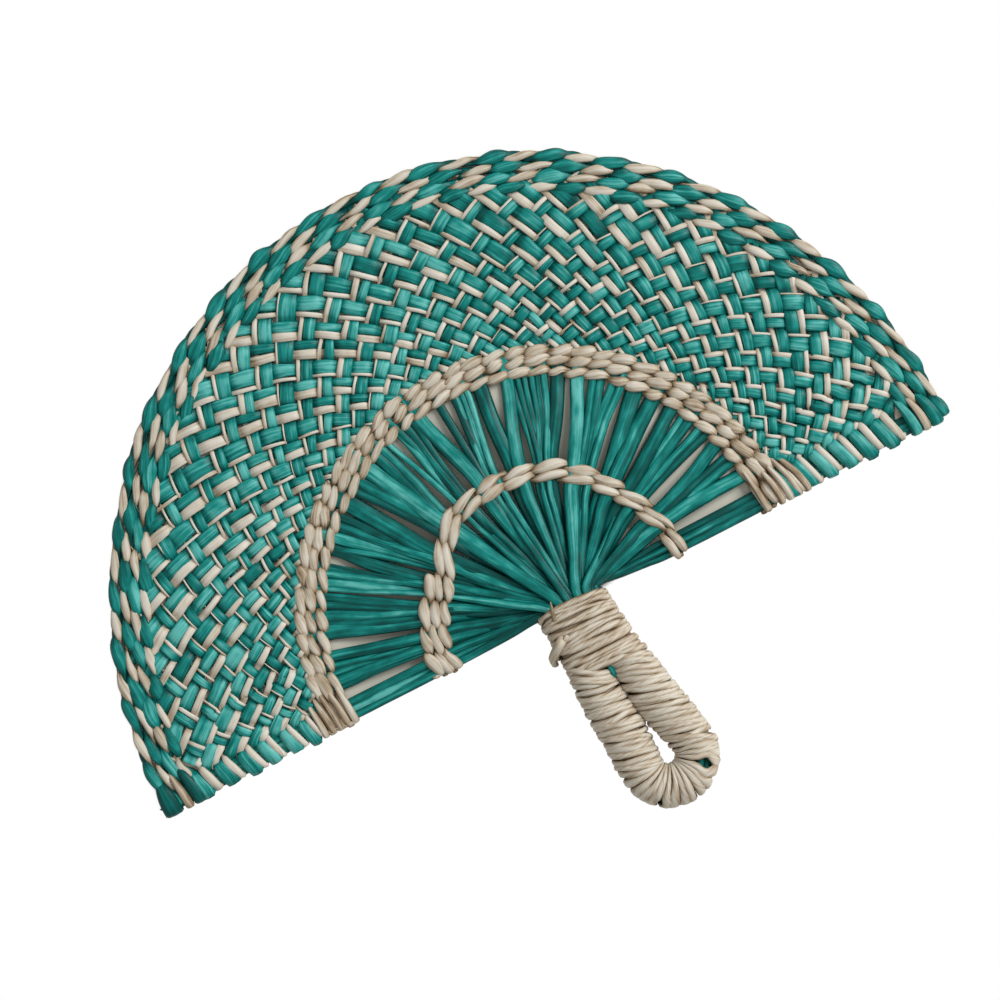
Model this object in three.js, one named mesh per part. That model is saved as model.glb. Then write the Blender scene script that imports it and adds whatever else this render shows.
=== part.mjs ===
// Half-round hand fan of dyed and natural palm straw, lying flat on its back.
// Millimetres, +Z up. The straight edge runs along X, the leaf spreads towards +Y and
// the handle points towards -Y. Angles start at the right end of the straight edge.
import * as THREE from "three";

const { degToRad, lerp, smoothstep } = THREE.MathUtils;
const UP = new THREE.Vector3(0, 0, 1);

// Straws, and the room left between pieces that touch
const CLEAR = 0.3; // between pieces that touch
const TURN_GAP = 0.6; // between one turn of a winding and the next
const SPOKE_T = 1.2; // thickness of a spoke
const TWINE_W = 2; // width of a twined straw
const TWINE_T = 0.8; // thickness of a twined straw
const TWINE_MARGIN = 0.5; // of the flat stretch of a twined straw, past each side of a post
const WRAP_T = 1.5; // thickness of the straw wound round the handle

// Leaf
const RIM_HALF_WIDTH = 186; // half the straight edge
const RIM_SHIFT = -2; // the middle of the straight edge sits this far right of the hub
const RIM_HEIGHT = 194.5; // hub to the top of the rim
const RIM_ROWS = 4; // rows of twining round the rim
const RIM_ROW_W = 4.2; // width of one of them
const ROW_GAP = 0.7; // between two rows of a twined band
const INNER_BAND_R = 52; // hub to the near side of the inner band, on the whole
const INNER_DIP = 8; // nearer to the hub than that, left of its middle
const INNER_DIP_FROM = degToRad(112); // where the dip begins
const INNER_DIP_TO = degToRad(144); // where it is full
const INNER_LEFT_RISE = 3.5; // back out again, at the left rib
const INNER_ROWS = 2;
const INNER_Z = 5; // height of the inner band's middle above the table
const MIDDLE_BAND_R = 96; // hub to the near side of the middle band
const MIDDLE_ROWS = 3;
const WEAVE_PAIRS = 36; // pairs of straws that run out of the middle band to each side
const WEAVE_ROWS = 12; // times that a pair crosses others on its way out to the rim
const WEAVE_RELIEF = 1.4; // depth of the hollows between the floats of the weave
const FLOAT_CREST = 0.45; // half the crest of a float, in half steps of the weave
const WEAVE_CROWDING = 9; // how soon the columns of the weave are even again, away from a rib

// Spokes and the ribs of the straight edge
const SPOKES = 34; // between the two ribs
const SPOKE_GROUPS = 13; // groups that the inner band gathers them into
const SPOKE_NECK_W = 2.8; // width from the neck to the inner band
const SPOKE_BAND_W = 4.6; // width at the middle band
const RIB_W = 7.6; // width of a rib outside the neck
const FIRST_SPOKE = degToRad(8); // from a rib to the spoke beside it
const FAN_R = 26; // hub to where the spokes part
const RIB_TURNS = 13; // straws folded round each rib

// Handle
const LEG_R = 8.7; // outside radius of a wound leg
const LOOP_R = 12.4; // radius of the bend at its foot, along the middle of the leg
const HANDLE_LENGTH = 99; // hub to the tip
const NECK_LENGTH = 33; // hub to the top of the eye
const EYE_SLIT = 1.4; // between the legs at the top of the eye
const NECK_ROOT = 10; // how far the spokes reach down into the neck
const NECK_OFFSET = 5; // the neck sits this far right of the hub
const LEAN = degToRad(4.5); // of the handle, to the right
const HANDLE_LIFT = 0.5; // of the handle's underside above the table
const NECK_TURNS = 9;
const LOOP_TURNS = 24;
const WRAP_START = 0.25; // share of a turn: both windings start and end on the upper side

// Steps that curves are drawn in
const RIM_STEPS = 36; // along a row of the rim
const FOLD_STEPS = 8; // in a turn round a rib
const CORE_STEPS = 48; // along the handle's core
const CORE_SIDES = 12;
const NECK_STEPS = 16; // in a turn round the neck
const LOOP_STEPS = 12; // in a turn round the loop

// Sizes that follow from these
const LEAF_T = SPOKE_T + 2 * (CLEAR + TWINE_T);
const LEAF_Z = LEAF_T / 2;
const ROW_W = 2 * TWINE_W + CLEAR;
const ROW_PITCH = ROW_W + ROW_GAP;
const bandWidth = (rows) => rows * ROW_PITCH - ROW_GAP;
const PANEL_INNER_R = MIDDLE_BAND_R + bandWidth(MIDDLE_ROWS) + CLEAR;
const PANEL_LOW = RIB_W / 2 + CLEAR + TWINE_T + CLEAR;
const RIM_PITCH = RIM_ROW_W + CLEAR;
const HANDLE_Z = LEG_R + HANDLE_LIFT;
const CORE_R = (LEG_R - WRAP_T) * Math.cos(Math.PI / LOOP_STEPS) - CLEAR;
const CORE_TOP = -(NECK_ROOT + CLEAR);
const EYE_TOP = -NECK_LENGTH;
const LOOP_Y = -(HANDLE_LENGTH - LOOP_R - LEG_R);
const NECK_LEG_X = CORE_R + CLEAR;
const EYE_LEG_X = LEG_R + EYE_SLIT / 2;

const natural = () => new THREE.MeshStandardMaterial({ color: 0xd2c2a6, roughness: 0.6 });
const teal = () => new THREE.MeshStandardMaterial({ color: 0x1f8078, roughness: 0.45 });

const fan = new THREE.Group();
const handle = new THREE.Group();
handle.position.set(NECK_OFFSET, 0, HANDLE_Z);
handle.rotation.z = LEAN;
fan.add(handle);
handle.updateMatrix();

function piece(name, geometry, material, parent = fan) {
  const mesh = new THREE.Mesh(geometry, material);
  mesh.name = name;
  parent.add(mesh);
}

// A closed solid through rings of points, each counter-clockwise about the way it runs.
function loft(rings) {
  const sides = rings[0].length;
  const faces = [];
  for (let i = 0; i + 1 < rings.length; i++) {
    for (let j = 0; j < sides; j++) {
      const a = i * sides + j;
      const b = i * sides + ((j + 1) % sides);
      faces.push(a, b, b + sides, a, b + sides, a + sides);
    }
  }
  const last = (rings.length - 1) * sides;
  for (let j = 1; j + 1 < sides; j++) {
    faces.push(0, j + 1, j, last, last + j, last + j + 1);
  }
  return new THREE.BufferGeometry().setFromPoints(rings.flat()).setIndex(faces);
}

// The four corners of a flat straw: its middle, the way across it and the way out of it.
function strawRing(at, across, out, width, thick) {
  return [[1, 1], [-1, 1], [-1, -1], [1, -1]].map(([i, j]) =>
    at.clone().addScaledVector(across, (i * width) / 2).addScaledVector(out, (j * thick) / 2),
  );
}

const polar = (radius, angle, z) =>
  new THREE.Vector3(radius * Math.cos(angle), radius * Math.sin(angle), z);

// A straw that lies flat through a list of points, mitred where it turns.
function flatStraw(points, widths, thick) {
  const across = points.slice(1).map((p, i) => {
    const way = p.clone().sub(points[i]).setZ(0).normalize();
    return new THREE.Vector3(-way.y, way.x, 0);
  });
  const rings = points.map((p, i) => {
    const before = across[Math.max(i - 1, 0)];
    const after = across[Math.min(i, across.length - 1)];
    const mitre = before.clone().add(after).normalize();
    return strawRing(p, mitre, UP, widths[i] / mitre.dot(before), thick);
  });
  return loft(rings);
}

// Spokes and ribs, called posts, are counted from the right rib to the left one.
const POSTS = SPOKES + 2;
const isRib = (post) => post === 0 || post === POSTS - 1;
const groupOf = (post) => Math.floor(((post - 1) * SPOKE_GROUPS) / SPOKES);

// Angle of a post at the middle band, where the posts are spread evenly.
function spreadAngle(post) {
  if (isRib(post)) return post === 0 ? 0 : Math.PI;
  return lerp(FIRST_SPOKE, Math.PI - FIRST_SPOKE, (post - 1) / (SPOKES - 1));
}

// Angle of a post at the inner band, where it lies close beside the others of its group.
const GROUP_ANGLE = (SPOKE_NECK_W + 3 * CLEAR) / INNER_BAND_R;
function gatheredAngle(post) {
  if (isRib(post)) return spreadAngle(post);
  const group = [];
  for (let k = 1; k <= SPOKES; k++) if (groupOf(k) === groupOf(post)) group.push(k);
  const first = group[0];
  const last = group[group.length - 1];
  const middle = (spreadAngle(first) + spreadAngle(last)) / 2;
  return middle + (post - (first + last) / 2) * GROUP_ANGLE;
}

// Near side of the inner band, which isn't quite round.
function innerNear(angle) {
  const dip = INNER_DIP * smoothstep(angle, INNER_DIP_FROM, INNER_DIP_TO);
  return INNER_BAND_R - dip + INNER_LEFT_RISE * smoothstep(angle, INNER_DIP_TO, Math.PI);
}

// The posts lie in layers in the neck, and neighbours never in layers next to each other.
const LAYER_ORDER = [0, 3, 1, 4, 2, 5];
const LAYER_PITCH = SPOKE_T + CLEAR;
const TOP_LAYER = (LAYER_ORDER.length - 1) / 2;
const STACK_HALF = TOP_LAYER * LAYER_PITCH + SPOKE_T / 2;
const NECK_HALF = NECK_LEG_X + Math.sqrt(CORE_R ** 2 - STACK_HALF ** 2) - SPOKE_NECK_W / 2;
const LAYERED_R = (INNER_BAND_R * (SPOKE_NECK_W + CLEAR / 2)) / (SPOKE_NECK_W + 3 * CLEAR);

for (let post = 0; post < POSTS; post++) {
  const rib = isRib(post);
  const near = gatheredAngle(post);
  const far = spreadAngle(post);
  const rise = (LAYER_ORDER[post % LAYER_ORDER.length] - TOP_LAYER) * LAYER_PITCH;
  const aside = 1 - (2 * post) / (POSTS - 1);
  const inNeck = (y) => new THREE.Vector3(NECK_HALF * aside, y, rise).applyMatrix4(handle.matrix);
  const bend = ((1 - Math.abs(aside)) * FAN_R) / 2; // posts nearer the middle bend later
  const share = (LAYERED_R - FAN_R) / (INNER_BAND_R - FAN_R);
  const bandStart = innerNear(near);
  const ribEnd = RIM_HALF_WIDTH + Math.sign(aside) * RIM_SHIFT - CLEAR;
  const end = rib ? ribEnd : PANEL_INNER_R - 2 * CLEAR;
  const points = [
    inNeck(-NECK_ROOT),
    inNeck(bend),
    polar(FAN_R, near, HANDLE_Z + rise),
    polar(LAYERED_R, near, lerp(HANDLE_Z, INNER_Z, share) + rise / 2),
    polar(bandStart - ROW_GAP, near, INNER_Z),
    polar(bandStart + bandWidth(INNER_ROWS) + ROW_GAP, near, INNER_Z),
    polar(MIDDLE_BAND_R - ROW_GAP, far, LEAF_Z),
    polar(end, far, LEAF_Z),
  ];
  const neckW = SPOKE_NECK_W;
  const widths = rib
    ? [neckW, neckW, neckW, (neckW + RIB_W) / 2, RIB_W, RIB_W, RIB_W, RIB_W]
    : [neckW, neckW, neckW, neckW, neckW, neckW, SPOKE_BAND_W, SPOKE_BAND_W];
  let name = "spoke_" + String(post).padStart(2, "0");
  if (rib) name = post === 0 ? "rib_right" : "rib_left";
  piece(name, flatStraw(points, widths, SPOKE_T), teal());
}

// Two straws twined along a row: each passes over one post and under the next, and they
// cross side by side between the posts.
const TWINE_RISE = SPOKE_T / 2 + CLEAR + TWINE_T / 2;
const TWINE_SWING = (TWINE_W + CLEAR) / 2;
function twined(radiusAt, z, spans, firstOver) {
  const rings = [];
  spans.forEach(([from, to], i) => {
    const over = (i % 2 === 0) === firstOver ? 1 : -1;
    [[from, over], [to, -over]].forEach(([angle, swing]) => {
      const at = polar(radiusAt(angle) + swing * TWINE_SWING, angle, z + over * TWINE_RISE);
      rings.push(strawRing(at, polar(-1, angle, 0), UP, TWINE_W, TWINE_T));
    });
  });
  return loft(rings);
}
function twinedBand(name, nearSide, rows, z, groups) {
  for (let row = 0; row < rows; row++) {
    const radiusAt = (angle) => nearSide(angle) + ROW_W / 2 + row * ROW_PITCH;
    const spans = groups.map(({ from, to, width }) => {
      const margin = (width / 2 + TWINE_MARGIN) / radiusAt((from + to) / 2);
      return [from - margin, to + margin];
    });
    piece(`${name}_row_${row + 1}_a`, twined(radiusAt, z, spans, row % 2 === 0), natural());
    piece(`${name}_row_${row + 1}_b`, twined(radiusAt, z, spans, row % 2 !== 0), natural());
  }
}
const innerGroups = [{ from: 0, to: 0, width: RIB_W }];
const middleGroups = [{ from: 0, to: 0, width: RIB_W }];
for (let post = 1; post <= SPOKES; post++) {
  const at = gatheredAngle(post);
  const last = innerGroups[innerGroups.length - 1];
  if (groupOf(post) === last.group) last.to = at;
  else innerGroups.push({ from: at, to: at, width: SPOKE_NECK_W, group: groupOf(post) });
  middleGroups.push({ from: spreadAngle(post), to: spreadAngle(post), width: SPOKE_BAND_W });
}
innerGroups.push({ from: Math.PI, to: Math.PI, width: RIB_W });
middleGroups.push({ from: Math.PI, to: Math.PI, width: RIB_W });
twinedBand("inner_band", innerNear, INNER_ROWS, INNER_Z, innerGroups);
twinedBand("middle_band", () => MIDDLE_BAND_R, MIDDLE_ROWS, LEAF_Z, middleGroups);

// Woven panel between the middle band and the rim, with a flat underside. Half of its pairs of
// straws run out to the left and half to the right, each over one pair and under the next.
// Columns of the weave are counted round from the right rib and rows out from the middle band,
// both in half steps, and a float lies wherever the sum of the two is odd.
const COLUMNS = 2 * WEAVE_PAIRS;
const panelA = RIM_HALF_WIDTH - RIM_ROWS * RIM_PITCH;
const panelB = RIM_HEIGHT - RIM_ROWS * RIM_PITCH;

// How far the panel reaches from the hub in one direction: to a shifted ellipse.
function panelReach(angle) {
  const c = Math.cos(angle) / panelA;
  const s = Math.sin(angle) / panelB;
  const shift = RIM_SHIFT / panelA;
  const square = c * c + s * s;
  return (shift * c + Math.sqrt((shift * c) ** 2 + square * (1 - shift * shift))) / square;
}

// A point of the weave. The first and last columns crowd together so as to end along the ribs.
function weavePoint(column, row, z) {
  const out = (angle) => PANEL_INNER_R * (panelReach(angle) / PANEL_INNER_R) ** (row / WEAVE_ROWS);
  const aside = 1 - (2 * column) / COLUMNS;
  const even = (Math.PI * column) / COLUMNS;
  const crowd = Math.sign(aside) * Math.abs(aside) ** WEAVE_CROWDING;
  const angle = even + Math.asin(PANEL_LOW / out(even)) * crowd;
  return polar(out(angle), angle, z);
}
const crest = (column, row) => weavePoint(column, row, LEAF_T);
const hollow = (column, row) => weavePoint(column, row, LEAF_T - WEAVE_RELIEF);
const inPanel = (column, row) => column >= 0 && column <= COLUMNS && row >= 0 && row <= WEAVE_ROWS;

// The upper side: each float is a crest along its own straw, sloping down to four hollows.
// A float cut by the panel's edge has its crest at one point of that edge.
const panelFaces = [];
for (let row = 0; row <= WEAVE_ROWS; row++) {
  for (let column = (row + 1) % 2; column <= COLUMNS; column += 2) {
    const lean = row % 2 ? -FLOAT_CREST : FLOAT_CREST;
    const beside = [[1, 0], [0, -1], [-1, 0], [0, 1]].map(([i, j]) => [column + i, row + j]);
    const whole = beside.every(([i, j]) => inPanel(i, j));
    const near = whole ? crest(column - FLOAT_CREST, row - lean) : crest(column, row);
    const far = whole ? crest(column + FLOAT_CREST, row + lean) : crest(column, row);
    const tops = row % 2 ? [far, far, near, near] : [far, near, near, far];
    beside.forEach((from, i) => {
      const next = (i + 1) % beside.length;
      const to = beside[next];
      if (!inPanel(...from) || !inPanel(...to)) return;
      panelFaces.push([hollow(...from), hollow(...to), tops[next]]);
      if (tops[i] !== tops[next]) panelFaces.push([hollow(...from), tops[next], tops[i]]);
    });
  }
}

// Its edge, round from the right end of the rim, and its underside.
const panelEdge = [];
for (let column = 0; column < COLUMNS; column++) panelEdge.push([column, WEAVE_ROWS]);
for (let row = WEAVE_ROWS; row > 0; row--) panelEdge.push([COLUMNS, row]);
for (let column = COLUMNS; column > 0; column--) panelEdge.push([column, 0]);
for (let row = 0; row < WEAVE_ROWS; row++) panelEdge.push([0, row]);
const edgeTop = panelEdge.map(([i, j]) => ((i + j) % 2 ? crest(i, j) : hollow(i, j)));
const edgeFoot = edgeTop.map((p) => p.clone().setZ(0));
edgeTop.forEach((top, i) => {
  const next = (i + 1) % edgeTop.length;
  panelFaces.push([edgeFoot[i], edgeFoot[next], edgeTop[next]], [edgeFoot[i], edgeTop[next], top]);
});
for (const [a, b, c] of THREE.ShapeUtils.triangulateShape(edgeFoot, [])) {
  panelFaces.push([edgeFoot[c], edgeFoot[b], edgeFoot[a]]);
}
piece("woven_panel", new THREE.BufferGeometry().setFromPoints(panelFaces.flat()), teal());

// Rows of twining round the rim, each as one bar with a flat top and underside.
class RimLine extends THREE.Curve {
  constructor(depth) {
    super();
    this.a = RIM_HALF_WIDTH - depth;
    this.b = RIM_HEIGHT - depth;
    this.start = Math.asin(PANEL_LOW / this.b);
  }
  getPoint(t, target = new THREE.Vector3()) {
    const angle = lerp(this.start, Math.PI - this.start, t);
    return target.set(RIM_SHIFT + this.a * Math.cos(angle), this.b * Math.sin(angle), LEAF_Z);
  }
}
const halfW = RIM_ROW_W / 2;
const rowSection = new THREE.Shape([
  new THREE.Vector2(LEAF_Z, -halfW / 2),
  new THREE.Vector2(LEAF_Z, halfW / 2),
  new THREE.Vector2(0, halfW),
  new THREE.Vector2(-LEAF_Z, halfW / 2),
  new THREE.Vector2(-LEAF_Z, -halfW / 2),
  new THREE.Vector2(0, -halfW),
]);
for (let row = 0; row < RIM_ROWS; row++) {
  const line = new RimLine(halfW + row * RIM_PITCH);
  const bar = new THREE.ExtrudeGeometry(rowSection, { steps: RIM_STEPS, extrudePath: line });
  piece(`rim_row_${row + 1}`, bar, row % 2 ? natural() : teal());
}

// A straw wound round an axis. place(turn) gives its middle, the way along the axis and the
// way out after that many turns. Each turn fills the room up to the next one less a gap, and
// the ends run straight for one thickness.
function winding(name, turns, steps, thick, place) {
  const rings = [];
  for (let i = 0; i <= turns * steps; i++) {
    const turn = i / steps;
    const { at, along, out } = place(turn);
    const room = [];
    for (const other of [turn - 1, turn + 1]) {
      if (other < 0 || other > turns) continue;
      const beside = place(other);
      for (const face of [-thick / 2, thick / 2]) {
        const from = at.clone().addScaledVector(out, face);
        room.push(from.distanceTo(beside.at.clone().addScaledVector(beside.out, face)));
      }
    }
    const width = Math.min(...room) - TURN_GAP;
    const ring = strawRing(at, along, out, width, thick);
    const tail = along.clone().cross(out).normalize().multiplyScalar(thick);
    if (i === 0) rings.push(ring.map((p) => p.clone().sub(tail)));
    rings.push(ring);
    if (i === turns * steps) rings.push(ring.map((p) => p.clone().add(tail)));
  }
  const apart = Math.ceil(steps / 2) + 1; // rings this far along belong to another turn
  let least = Infinity;
  for (let i = 0; i < rings.length; i++) {
    for (let j = i + apart; j < rings.length; j++) {
      for (const p of rings[i]) {
        for (const q of rings[j]) least = Math.min(least, p.distanceTo(q));
      }
    }
  }
  console.log(`${name}: least gap to itself ${least.toFixed(2)} mm`);
  return loft(rings);
}

// A point of a path round a bar with rounded corners, by the angle about its axis.
function roundBar(angle, halfA, halfB, radius) {
  const c = Math.cos(angle);
  const s = Math.sin(angle);
  return { a: Math.sign(c) * halfA + radius * c, b: Math.sign(s) * halfB + radius * s, c, s };
}

// Straws of the panel folded round each rib, from the middle band to the rim, as one winding.
const halfTurn = FOLD_STEPS / 2;
const foldStart = PANEL_INNER_R + CLEAR;
for (const side of [1, -1]) {
  const name = side > 0 ? "rib_fold_right" : "rib_fold_left";
  const foldPitch = (RIM_HALF_WIDTH + side * RIM_SHIFT - foldStart) / (RIB_TURNS + 1);
  const place = (turn) => {
    const angle = 2 * Math.PI * (turn + 0.5 / FOLD_STEPS);
    const reach = CLEAR + TWINE_T / 2;
    const { a, b, c, s } = roundBar(angle, RIB_W / 2, SPOKE_T / 2, reach);
    const flats = Math.floor(Math.round(turn * FOLD_STEPS) / halfTurn + 0.5); // it moves on only there
    const x = side * (foldStart + (foldPitch * (flats + 1)) / 2);
    return {
      at: new THREE.Vector3(x, side * a, LEAF_Z + b),
      along: new THREE.Vector3(side, 0, 0),
      out: new THREE.Vector3(0, side * c, s),
    };
  };
  piece(name, winding(name, RIB_TURNS, FOLD_STEPS, TWINE_T, place), side > 0 ? teal() : natural());
}

// Middle line of the handle's core: down the right leg, round the foot and up the left leg.
function legX(y) {
  if (y > EYE_TOP) return lerp(NECK_LEG_X, EYE_LEG_X, smoothstep(-y, -CORE_TOP, NECK_LENGTH));
  return lerp(EYE_LEG_X, LOOP_R, (EYE_TOP - y) / (EYE_TOP - LOOP_Y));
}
class HandleLine extends THREE.Curve {
  leg = CORE_TOP - LOOP_Y;
  foot = Math.PI * LOOP_R;
  total = 2 * this.leg + this.foot;
  getPoint(t, target = new THREE.Vector3()) {
    const s = t * this.total;
    const left = s - this.leg - this.foot;
    if (s < this.leg) return target.set(legX(CORE_TOP - s), CORE_TOP - s, 0);
    if (left > 0) return target.set(-legX(LOOP_Y + left), LOOP_Y + left, 0);
    const angle = (s - this.leg) / LOOP_R;
    return target.set(LOOP_R * Math.cos(angle), LOOP_Y - LOOP_R * Math.sin(angle), 0);
  }
}
const handleLine = new HandleLine();
const round = new THREE.Shape().absarc(0, 0, CORE_R, 0, 2 * Math.PI, false);
const core = { steps: CORE_STEPS, extrudePath: handleLine, curveSegments: CORE_SIDES / 2 };
piece("handle_core", new THREE.ExtrudeGeometry(round, core), teal(), handle);

// Straw wound round the neck, over the ends of the spokes and the tops of both legs.
const WRAP_R = LEG_R - WRAP_T / 2;
const neckTop = -(SPOKE_NECK_W / 2 + 3 * CLEAR);
const neckFoot = EYE_TOP + TURN_GAP;
const neckPitch = (neckTop - neckFoot) / (NECK_TURNS + 1);
const neckPlace = (turn) => {
  const y = neckTop - neckPitch * (turn + 0.5);
  const angle = 2 * Math.PI * (turn + WRAP_START + 0.5 / NECK_STEPS);
  const { a, b, c, s } = roundBar(angle, legX(y), 0, WRAP_R);
  return {
    at: new THREE.Vector3(a, y, b),
    along: new THREE.Vector3(0, -1, 0),
    out: new THREE.Vector3(c, 0, s),
  };
};
const neckWrap = winding("neck_wrap", NECK_TURNS, NECK_STEPS, WRAP_T, neckPlace);
piece("neck_wrap", neckWrap, natural(), handle);

// Straw wound round the loop from the top of the eye, down one leg and up the other.
const loopStart = (CORE_TOP - EYE_TOP) / handleLine.total;
const loopPitch = (1 - 2 * loopStart) / (LOOP_TURNS + 1);
const loopPlace = (turn) => {
  const t = loopStart + loopPitch * (turn + 0.5);
  const along = handleLine.getTangent(t);
  const angle = 2 * Math.PI * (turn + WRAP_START);
  const out = UP.clone().cross(along).multiplyScalar(Math.cos(angle)).addScaledVector(UP, Math.sin(angle));
  return { at: handleLine.getPoint(t).addScaledVector(out, WRAP_R), along, out };
};
const loopWrap = winding("loop_wrap", LOOP_TURNS, LOOP_STEPS, WRAP_T, loopPlace);
piece("loop_wrap", loopWrap, natural(), handle);

// The part's origin is the middle of its footprint, on the table.
const part = new THREE.Group();
part.add(fan);
part.updateMatrixWorld(true);
const box = new THREE.Box3().setFromObject(part, true);
fan.position.set(-(box.min.x + box.max.x) / 2, -(box.min.y + box.max.y) / 2, -box.min.z);

export default part;
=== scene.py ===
import math
import random
from collections import namedtuple

import bmesh
import bpy
from mathutils import Matrix, Vector, noise


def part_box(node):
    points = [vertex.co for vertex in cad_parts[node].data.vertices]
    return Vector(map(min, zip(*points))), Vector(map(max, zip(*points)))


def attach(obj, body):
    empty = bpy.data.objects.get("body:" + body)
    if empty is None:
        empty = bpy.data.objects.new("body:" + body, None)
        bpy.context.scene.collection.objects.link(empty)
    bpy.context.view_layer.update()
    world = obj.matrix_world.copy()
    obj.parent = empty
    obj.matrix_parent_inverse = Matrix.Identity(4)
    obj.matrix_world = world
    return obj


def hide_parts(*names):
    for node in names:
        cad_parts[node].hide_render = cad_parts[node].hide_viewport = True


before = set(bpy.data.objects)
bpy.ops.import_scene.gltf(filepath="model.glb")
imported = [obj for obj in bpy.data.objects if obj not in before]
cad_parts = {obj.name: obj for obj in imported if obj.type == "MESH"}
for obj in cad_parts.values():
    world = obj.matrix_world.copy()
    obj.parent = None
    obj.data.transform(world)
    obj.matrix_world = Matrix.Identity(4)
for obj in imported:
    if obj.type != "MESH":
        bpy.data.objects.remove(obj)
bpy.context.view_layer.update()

# Handle core: a bundle of round teal straws bent into a loop that hangs below the neck.
# The straws are the lower ends of the fan's own rays, doubled back at the foot of the loop.
# The winding hides them but for a few slits and one end where the legs part.
MM = 0.001
UP = Vector((0, 0, 1))
band_low, band_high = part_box("middle_band_row_1_a")
fold_low, fold_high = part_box("rib_fold_right")
HUB = Vector(((band_low[0] + band_high[0]) / 2, (fold_low[1] + fold_high[1]) / 2, 0))

HANDLE_X = 5
HANDLE_Z = 9.2
HANDLE_TURN = math.radians(4.5)
HANDLE_AT = Matrix.Translation((HANDLE_X, 0, HANDLE_Z)) @ Matrix.Rotation(HANDLE_TURN, 4, "Z")
LEG_TOP = -6
EYE_TOP = -33
FOOT_Y = -77.9
FOOT_R = 12.4
NECK_LEG_X = 6.9
EYE_LEG_X = 9.6
PINCH_Y = -20
PARTING_Y = -40
PARTING_CURVE = 1.7
FOOT_DRIFT = 1.1
DRIFT_FROM = -45
DRIFT_TO = -70
CORE_STRAWS = 9
CORE_R = 5.4
CORE_STRAW_W = 3.8
CORE_STRAW_THICK = 2.4
CORE_STEPS = 60
STRAY_END = Vector((0.4, EYE_TOP, 5.6))
STRAY_END_W = 2.8
STRAY_END_THICK = 1.6
STRAY_END_BEND = 0.1
luck = random.Random(41)


def mix(a, b, share):
    return a + (b - a) * share


def ease(low, high, value):
    share = min(max((value - low) / (high - low), 0), 1)
    return share * share * (3 - 2 * share)


def sway(seed, along):
    """A smooth wander between about -1 and 1."""
    return 1.6 * noise.noise(Vector((along, seed * 7.31, seed * 1.7)))


def new_bundle():
    bundle = bmesh.new()
    bundle.loops.layers.uv.new("straw")
    bundle.verts.layers.float.new("tone")
    bundle.verts.layers.float.new("edge")
    return bundle


def lay_straw(bundle, route, tone, flat=0.8, edge_wear_and_shade=0.2, twist=0, stop_darkening=()):
    """Adds one straw to a bundle. Each stop of its route, in millimetres from the hub, holds
    the middle, the way out of its face, the width and the thickness. Its edges are darker, partly
    wear and partly painted shade, and each stop may be darkened further, such as by painted shade
    where it passes below another straw."""
    around = 8
    seam = 1e-7
    last = len(route) - 1
    nominal = max(width for _, _, width, _ in route)
    grid = bmesh.ops.create_grid(bundle, x_segments=around, y_segments=last, size=0.5)
    straw_map = bundle.loops.layers.uv["straw"]
    straw_tone = bundle.verts.layers.float["tone"]
    straw_wear_and_shade = bundle.verts.layers.float["edge"]
    stops = []
    length = 0
    for i, (middle, out, width, thick) in enumerate(route):
        way = (route[min(i + 1, last)][0] - route[max(i - 1, 0)][0]).normalized()
        across = way.cross(out).normalized()
        if i:
            length += (middle - route[i - 1][0]).length
        stops.append((middle, across * width / 2, across.cross(way) * thick / 2, length))
    faces = {face for vert in grid["verts"] for face in vert.link_faces}
    for face in faces:
        for loop in face.loops:
            x, y, _ = loop.vert.co
            along = stops[round((y + 0.5) * last)][3]
            loop[straw_map].uv = ((x + 0.5) * 2 * nominal + twist * along, along)
    for vert in grid["verts"]:
        x, y, _ = vert.co
        stop = round((y + 0.5) * last)
        middle, across, out, _ = stops[stop]
        c = math.sin(2 * math.pi * x)
        s = math.cos(2 * math.pi * x)
        vert[straw_tone] = tone
        # Darker edges, partly wear and partly painted shade, plus the darkening given for this stop.
        vert[straw_wear_and_shade] = edge_wear_and_shade * ease(0.4, 1, abs(c)) + (stop_darkening[stop] if stop_darkening else 0)
        c = math.copysign(abs(c) ** flat, c)
        s = math.copysign(abs(s) ** flat, s)
        vert.co = (middle + across * c + out * s) * MM + HUB
    bmesh.ops.remove_doubles(bundle, verts=grid["verts"], dist=seam)
    ends = {edge for face in faces for edge in face.edges if edge.is_boundary}
    bmesh.ops.holes_fill(bundle, edges=list(ends), sides=0)


finishes = {}


def finish_piece(name, bundle, slot, *nodes):
    """Makes one piece of a bundle, in place of nodes of the CAD."""
    bmesh.ops.recalc_face_normals(bundle, faces=bundle.faces)
    mesh = bpy.data.meshes.new(name)
    bundle.to_mesh(mesh)
    bundle.free()
    mesh.shade_smooth()
    mesh.materials.append(finishes[slot])
    piece = bpy.data.objects.new(name, mesh)
    bpy.context.scene.collection.objects.link(piece)
    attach(piece, "root")
    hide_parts(*nodes)


class Shade:
    """A value in a finish, for sums written as plain Python."""

    def __init__(self, tree, socket=None):
        self.tree = tree
        self.socket = socket

    def add(self, kind, settings, sockets, out=0):
        node = self.tree.nodes.new(kind)
        for name, value in settings.items():
            if name != "stops":
                setattr(node, name, value)
                continue
            stops = node.color_ramp.elements
            while len(stops) < len(value):
                stops.new(0.5)
            for stop, (position, colour) in zip(stops, value):
                stop.position = position
                stop.color = colour
        for name, value in sockets.items():
            if isinstance(value, Shade):
                self.tree.links.new(value.socket, node.inputs[name])
            else:
                node.inputs[name].default_value = value
        return Shade(self.tree, node.outputs[out])

    def sum(self, operation, first, second):
        return self.add("ShaderNodeMath", {"operation": operation}, {0: first, 1: second})

    def __add__(self, other):
        return self.sum("ADD", self, other)

    def __radd__(self, other):
        return self.sum("ADD", other, self)

    def __sub__(self, other):
        return self.sum("SUBTRACT", self, other)

    def __rsub__(self, other):
        return self.sum("SUBTRACT", other, self)

    def __mul__(self, other):
        return self.sum("MULTIPLY", self, other)

    def __truediv__(self, other):
        return self.sum("DIVIDE", self, other)


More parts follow.
